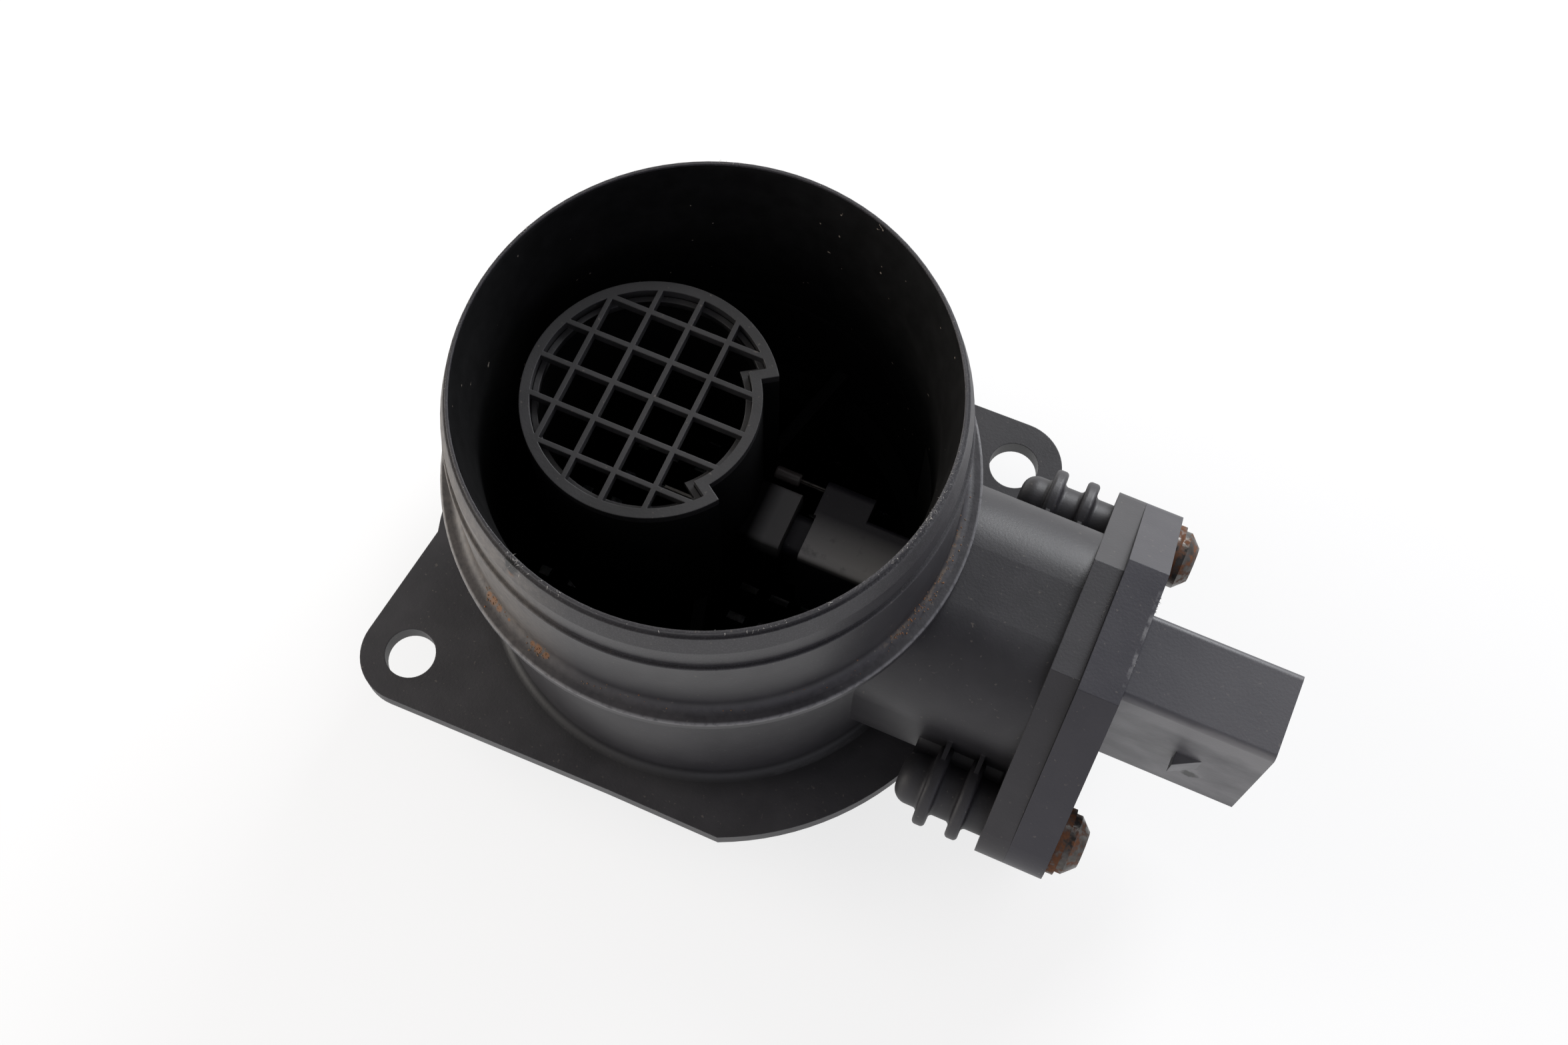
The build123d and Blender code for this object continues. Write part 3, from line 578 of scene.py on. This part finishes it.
def slivers(roots, ways, lengths, width, rng):
    """Tapered torn fibres.

    Each is a curve root + way * length * t + sideways * length * 0.5 * t^2, for t from 0 to
    1, with a three-sided section whose radius is width * (1 - 0.9 t).
    """
    t = np.linspace(0.0, 1.0, 4)[None, :, None]
    bend = np.cross(ways, rng.normal(size=ways.shape))
    bend /= np.linalg.norm(bend, axis=1, keepdims=True) + 1e-9
    line = (roots[:, None] + ways[:, None] * lengths[:, None, None] * t
            + bend[:, None] * lengths[:, None, None] * 0.5 * t ** 2)
    other = np.cross(ways, bend)
    turn = np.linspace(0.0, 2 * np.pi, 3, endpoint=False)[None, None, :, None]
    section = bend[:, None, None] * np.cos(turn) + other[:, None, None] * np.sin(turn)
    return line[:, :, None] + section * (width * (1.0 - 0.9 * t))[..., None]


def lumps(centres, sizes, rng):
    """Small grit grains.

    Each has three rings of five points round its centre, at -0.6, 0 and 0.6 of its size up
    and 0.55, 1 and 0.5 of its size out, and every point is moved to 0.67 to 1.2 times that.
    """
    turn = np.linspace(0.0, 2 * np.pi, 5, endpoint=False)
    height = np.array([-0.6, 0.0, 0.6])
    wide = np.array([0.55, 1.0, 0.5])
    x = wide[:, None] * np.cos(turn)
    y = wide[:, None] * np.sin(turn)
    z = np.broadcast_to(height[:, None], x.shape)
    unit = np.stack([x, y, z], -1)[None]
    jitter = rng.uniform(0.67, 1.2, (len(centres), 3, 5, 1))
    return centres[:, None, None] + unit * jitter * sizes[:, None, None, None]


# ------------------------------------------------------------------ operators
class SENSOR_OT_finishes(bpy.types.Operator):
    """Coat the wall of the bore in a dull sleeve of painted shade"""

    bl_idname = "sensor.finishes"
    bl_label = "Finishes"

    def execute(self, context):
        f = context.scene.sensor_finishes
        base, pale, rough = f.plastic, f.plastic_pale, f.plastic_roughness
        dress(plastic("duct plastic", base, pale, rough, dust=f.dust, marks=duct_marks),
              "tube_housing")
        dress(plastic("module plastic", f.module, pale, rough - 0.04, dust=f.dust,
                      marks=module_marks), "sensor_body", "cavity_cover")
        dress(plastic("inner plastic", f.inner, f.inner_pale, 0.8, marks=tube_marks, shine=0.15),
              "measuring_tube")
        dress(plastic("straightener plastic", f.inner, f.inner, 0.9, shine=0.1),
              "flow_straightener")
        dress(plastic("grid plastic", f.grid, pale, 0.5, dust=f.dust), "flow_grid")
        dress(plastic("seal rubber", f.rubber, base, 0.55, grain=1500.0),
              "spigot_o_ring", "body_seal")
        dress(plastic("chip plastic", f.chip, base, 0.45), "measuring_chip", "heater_driver")
        dress(metal("screw steel", f.steel, f.steel_dark, 0.5, rust=0.14), "plate_screws")
        dress(metal("washer steel", f.steel, f.steel_dark, 0.5, rust=0.24), "screw_washers")
        for make, rows in ((metal, SMALL_METALS), (plastic, SMALL_PLASTICS)):
            for name, tone, second, roughness, nodes in rows:
                dress(make(name, tone, second, roughness), *nodes)
        return {"FINISHED"}


class SENSOR_OT_fibres(bpy.types.Operator):
    """Raise torn fibres along the rim, in the gouge and on the scuffed edges"""

    bl_idname = "sensor.fibres"
    bl_label = "Torn fibres"

    def execute(self, context):
        w, f = context.scene.sensor_wear, context.scene.sensor_finishes
        rng = np.random.default_rng(w.seed)
        look = Recipe("torn fibre")
        tone = look.limits(look.noise(1800.0, 2.0), 0.3, 0.7)
        look.finish(Base_Color=look.mix(tone, rgba(f.plastic_pale), rgba(f.fibre)),
                    Roughness=0.7, Normal=look.bump(look.noise(9000.0), 0.4, 0.00001))
        outer, height = w.rim_radius, w.rim_height - FIBRE_SINK
        spots = [on_ring(rng.uniform(outer - LIP_WIDTH, outer, len(run)), height, run)
                 for run in scatter(rng, LIP_FIBRES)]
        shares = [row[-1] for row in LIP_FIBRES]
        spots.append(on_ring(rng.normal(*GOUGE_RADIUS, GOUGE_COUNT),
                             rng.uniform(*GOUGE_HEIGHT, GOUGE_COUNT),
                             rng.normal(*GOUGE_ANGLE, GOUGE_COUNT)))
        shares.append(GOUGE_SHARE)
        for start, end, count in SCUFFED_EDGES:
            t = rng.uniform(0, 1, (count, 1))
            spots.append(np.array(start) * (1 - t) + np.array(end) * t)
            shares.append(SCUFF_SHARE)
        roots = np.concatenate(spots)
        # Fibres lean outwards and a little up, each with a turn of its own.
        ways = rng.normal(size=roots.shape) * 0.6 + roots * (20.0, 20.0, 0.0) + (0.0, 0.0, 0.25)
        ways /= np.linalg.norm(ways, axis=1, keepdims=True)
        sizes = np.repeat(shares, [len(spot) for spot in spots])
        lengths = sizes * w.fibre_length * rng.uniform(0.35, 1.0, len(roots))
        points = slivers(roots, ways, lengths, w.fibre_width * 0.5, rng)
        piece(context, "torn_fibres", points, grid_faces(4, 3, len(roots)), look.material)
        return {"FINISHED"}


class SENSOR_OT_grit(bpy.types.Operator):
    """Strew grit and rust flakes in the root of the collar"""

    bl_idname = "sensor.grit"
    bl_label = "Grit"

    def execute(self, context):
        """Lay grains on the collar's top and up its root fillet, a quarter circle in section."""
        w, f = context.scene.sensor_wear, context.scene.sensor_finishes
        rng = np.random.default_rng(w.seed + 1)
        look = Recipe("road grit")
        tone = look.limits(look.noise(1500.0, 2.0), 0.35, 0.65)
        look.finish(Base_Color=look.mix(tone, rgba(f.rust), rgba(f.grit)), Roughness=0.85,
                    Normal=look.bump(look.noise(8000.0), 0.5, 0.00002))
        turns = np.concatenate(scatter(rng, COLLAR_GRIT))
        out = w.neck_radius + np.abs(rng.normal(*GRAIN_OUT, len(turns)))
        centres = on_ring(out, w.collar_height + GRAIN_LIFT, turns)
        rise = np.clip(w.neck_radius + ROOT_FILLET - out, 0, ROOT_FILLET)
        centres[:, 2] += ROOT_FILLET - np.sqrt(ROOT_FILLET ** 2 - rise ** 2)
        sizes = rng.uniform(*GRAIN_SIZES, len(turns))
        piece(context, "collar_grit", lumps(centres, sizes, rng), grid_faces(3, 5, len(turns)),
              look.material, smooth=False)
        return {"FINISHED"}


class SENSOR_OT_bore_shade(bpy.types.Operator):
    """Coat the wall of the bore in dull soot"""

    bl_idname = "sensor.soot"
    bl_label = "Bore soot"

    def execute(self, context):
        """Make a whole sleeve above the module's window and an open one beside it."""
        w, f = context.scene.sensor_wear, context.scene.sensor_finishes
        # The sleeve's colour is painted shade, with a few dust flecks.
        look = Recipe("bore soot")
        tone = look.limits(look.noise(300.0, 5.0), 0.35, 0.7)
        shade = look.mix(tone, rgba(f.soot), rgba(f.bore_shade_pale))
        shade = look.paint(shade, f.dust, look.limits(look.noise(700.0, 2.0), 0.75, 0.775))
        look.finish(Base_Color=shade, Roughness=0.92, Specular_IOR_Level=0.12,
                    Normal=look.bump(look.noise(2600.0, 3.0), 0.5, 0.00003))
        # Name, lower and upper end, rings of height, first and last angle.
        for name, low, high, rings, start, end in (
                ("bore_shade_upper", WINDOW_TOP, w.rim_height - BORE_SHADE_GAP, 40, -180, 180),
                ("bore_shade_lower", BORE_SHADE_FOOT, WINDOW_TOP, 14, WINDOW_HALF, 360 - WINDOW_HALF)):
            points = self.sleeve(w, np.linspace(low, high, rings), start, end)
            piece(context, name, points, self.skin(rings, end - start == 360), look.material)
        return {"FINISHED"}

    def sleeve(self, w, heights, start, end):
        """A thin sleeve of painted shade on the wall of the bore.

        The wall's radius at a height z is bore + (mouth - bore) * max(0, z - flare) / depth.
        The sleeve's section runs up one film thickness inside it and back down one film
        thickness outside it.
        """
        flare = w.rim_height - w.mouth_depth
        spread = np.maximum(0, heights - flare)
        wall = w.bore_radius + (w.mouth_radius - w.bore_radius) * spread / w.mouth_depth
        radius = np.concatenate([wall - w.film, wall[::-1] + w.film])
        height = np.concatenate([heights, heights[::-1]])
        turn = np.radians(np.linspace(start, end, BORE_SHADE_TURNS, endpoint=end - start < 360))[:, None]
        return np.stack([radius * np.cos(turn), radius * np.sin(turn),
                         np.broadcast_to(height, (BORE_SHADE_TURNS, len(height)))], -1)

    def skin(self, rise, whole):
        """Faces of the sleeve: capped, or joined end to start when it goes the whole way round."""
        around = 2 * rise
        faces = grid_faces(BORE_SHADE_TURNS, around)
        if whole:
            a = np.arange(around)
            b = (a + 1) % around
            last = (BORE_SHADE_TURNS - 1) * around
            faces = faces[:-2] + np.stack([last + a, last + b, b, a], -1).tolist()
        return faces


class SENSOR_OT_webs(bpy.types.Operator):
    """Join each screw boss to the box with a thin flared web"""

    bl_idname = "sensor.webs"
    bl_label = "Boss webs"

    def execute(self, context):
        w = context.scene.sensor_wear
        duct = bpy.data.materials["duct plastic"]
        for name, side in (("boss_web_near", -1.0), ("boss_web_far", 1.0)):
            points = self.web(w, side)
            faces = grid_faces(*points.shape[:2])
            if side < 0:
                faces = [face[::-1] for face in faces]
            piece(context, name, points, faces, duct)
        return {"FINISHED"}

    def web(self, w, side):
        """One web as sections along x.

        A section is a closed loop of y and z: y runs from the box's wall to the boss, and z
        stands off the boss's axis height by t / 2 * (1 + flare * u^2), where u runs from -1
        to 1 across and t is the web's thickness, so that it widens into both walls.
        """
        u = np.linspace(-1.0, 1.0, 17)
        half = w.web_thickness / 2 * (1.0 + WEB_FLARE * u ** 2)
        low, high = WEB_WALL, w.boss_reach - WEB_BITE
        y = (low + high) / 2 + u * (high - low) / 2
        x = np.linspace(*WEB_ALONG, 24)
        points = np.empty((len(x), 2 * len(u), 3))
        points[..., 0] = x[:, None]
        points[..., 1] = side * np.concatenate([y, y[::-1]])
        points[..., 2] = w.boss_height + np.concatenate([-half, half[::-1]])
        return points


class SENSOR_OT_stage(bpy.types.Operator):
    """Lay the pale floor, the white surround, the lamps and the camera"""

    bl_idname = "sensor.stage"
    bl_label = "Stage"

    def execute(self, context):
        s = context.scene.sensor_stage
        self.floor(context, s)
        self.surround(context, s)
        self.lamp(context, "back lamp", s.back_lamp, *BACK_LAMP)
        self.lamp(context, "left lamp", s.left_lamp, *LEFT_LAMP)
        self.camera(context, s)
        context.scene.view_settings.view_transform = "Standard"
        return {"FINISHED"}

    def floor(self, context, s):
        """Pale floor that is partly plain white to the eye and to gloss, but not to light."""
        half = s.floor_half
        mesh = bpy.data.meshes.new("floor")
        mesh.from_pydata([(-half, -half, 0), (half, -half, 0), (half, half, 0), (-half, half, 0)],
                         [], [(0, 1, 2, 3)])
        floor = bpy.data.objects.new("floor", mesh)
        context.collection.objects.link(floor)
        look = Recipe("floor white")
        look.finish(Base_Color=rgba(context.scene.sensor_finishes.floor), Roughness=0.9)
        path = look.add("ShaderNodeLightPath").outputs
        seen = look.math("MAXIMUM", path["Is Camera Ray"], path["Is Glossy Ray"])
        seen = look.math("MAXIMUM", seen, path["Is Transmission Ray"])
        reach = look.vector("LENGTH", look.place)
        seen = look.both(seen, look.math("GREATER_THAN", reach, FLOOR_SHADE), s.floor_glow)
        glow = look.add("ShaderNodeEmission", {"Color": (1, 1, 1, 1), "Strength": 1.0}).outputs[0]
        blend = look.add("ShaderNodeMixShader", {0: seen, 1: look.shader.outputs[0], 2: glow})
        look.feed(look.tree.nodes["Material Output"].inputs["Surface"], blend.outputs[0])
        mesh.materials.append(look.material)

    def surround(self, context, s):
        """White surround, bright near the horizon and dimmer overhead, warm to cool along X."""
        world = bpy.data.worlds.new("white surround")
        world.use_nodes = True
        context.scene.world = world
        look = Nodes(world.node_tree)
        way = look.add("ShaderNodeTexCoord").outputs["Generated"]
        x, _, z = look.add("ShaderNodeSeparateXYZ", {0: way}).outputs
        tint = look.mix(look.limits(x, *SIDE_RAMP), rgba(WARM), rgba(COOL))
        low, high = HEIGHT_RAMP
        strength = look.add("ShaderNodeMapRange", {"Value": z, "From Min": low, "From Max": high,
                            "To Min": s.sky, "To Max": s.zenith},
                            interpolation_type="SMOOTHSTEP").outputs[0]
        back = look.tree.nodes["Background"]
        look.feed(back.inputs["Color"], tint)
        look.feed(back.inputs["Strength"], strength)

    def lamp(self, context, name, watts, place, size, tint):
        """One square area lamp that faces the object's middle."""
        light = bpy.data.lights.new(name, "AREA")
        light.size, light.energy, light.color = size, watts, tint
        lamp = bpy.data.objects.new(name, light)
        aim = Vector(place) - Vector(LAMP_AIM)
        turn = aim.to_track_quat("Z", "Y").to_matrix().to_4x4()
        lamp.matrix_world = Matrix.Translation(place) @ turn
        context.collection.objects.link(lamp)

    def camera(self, context, s):
        """Camera on its place, turned to its right, up and back axes."""
        up, back = [-v for v in CAMERA_DOWN], [-v for v in CAMERA_AHEAD]
        turn = Matrix((CAMERA_RIGHT, up, back)).transposed()
        camera = bpy.data.objects.new("camera", bpy.data.cameras.new("camera"))
        camera.matrix_world = Matrix.Translation(CAMERA_PLACE) @ turn.to_4x4()
        camera.data.lens = s.lens
        camera.data.sensor_width = 36.0
        camera.data.clip_start = 0.01
        context.collection.objects.link(camera)
        context.scene.camera = camera


class VIEW3D_PT_sensor(bpy.types.Panel):
    """Sidebar panel that lists the sensor's operators"""

    bl_label = "Mass Airflow Sensor"
    bl_space_type = "VIEW_3D"
    bl_region_type = "UI"
    bl_category = "Sensor"

    def draw(self, context):
        for operator in OPERATORS:
            self.layout.operator(operator.bl_idname)


OPERATORS = (SENSOR_OT_finishes, SENSOR_OT_fibres, SENSOR_OT_grit, SENSOR_OT_bore_shade,
             SENSOR_OT_webs, SENSOR_OT_stage)
CLASSES = (SensorFinishes, SensorWear, SensorStage, *OPERATORS, VIEW3D_PT_sensor)


def register():
    """Register the classes and hang the settings on the scene."""
    for each in CLASSES:
        bpy.utils.register_class(each)
    bpy.types.Scene.sensor_finishes = PointerProperty(type=SensorFinishes)
    bpy.types.Scene.sensor_wear = PointerProperty(type=SensorWear)
    bpy.types.Scene.sensor_stage = PointerProperty(type=SensorStage)


def unregister():
    """Take the settings and the classes away again."""
    del bpy.types.Scene.sensor_stage
    del bpy.types.Scene.sensor_wear
    del bpy.types.Scene.sensor_finishes
    for each in reversed(CLASSES):
        bpy.utils.unregister_class(each)


def main():
    """Run every operator in order."""
    register()
    bpy.ops.sensor.finishes()
    bpy.ops.sensor.fibres()
    bpy.ops.sensor.grit()
    bpy.ops.sensor.soot()
    bpy.ops.sensor.webs()
    bpy.ops.sensor.stage()


if __name__ == "__main__":
    main()
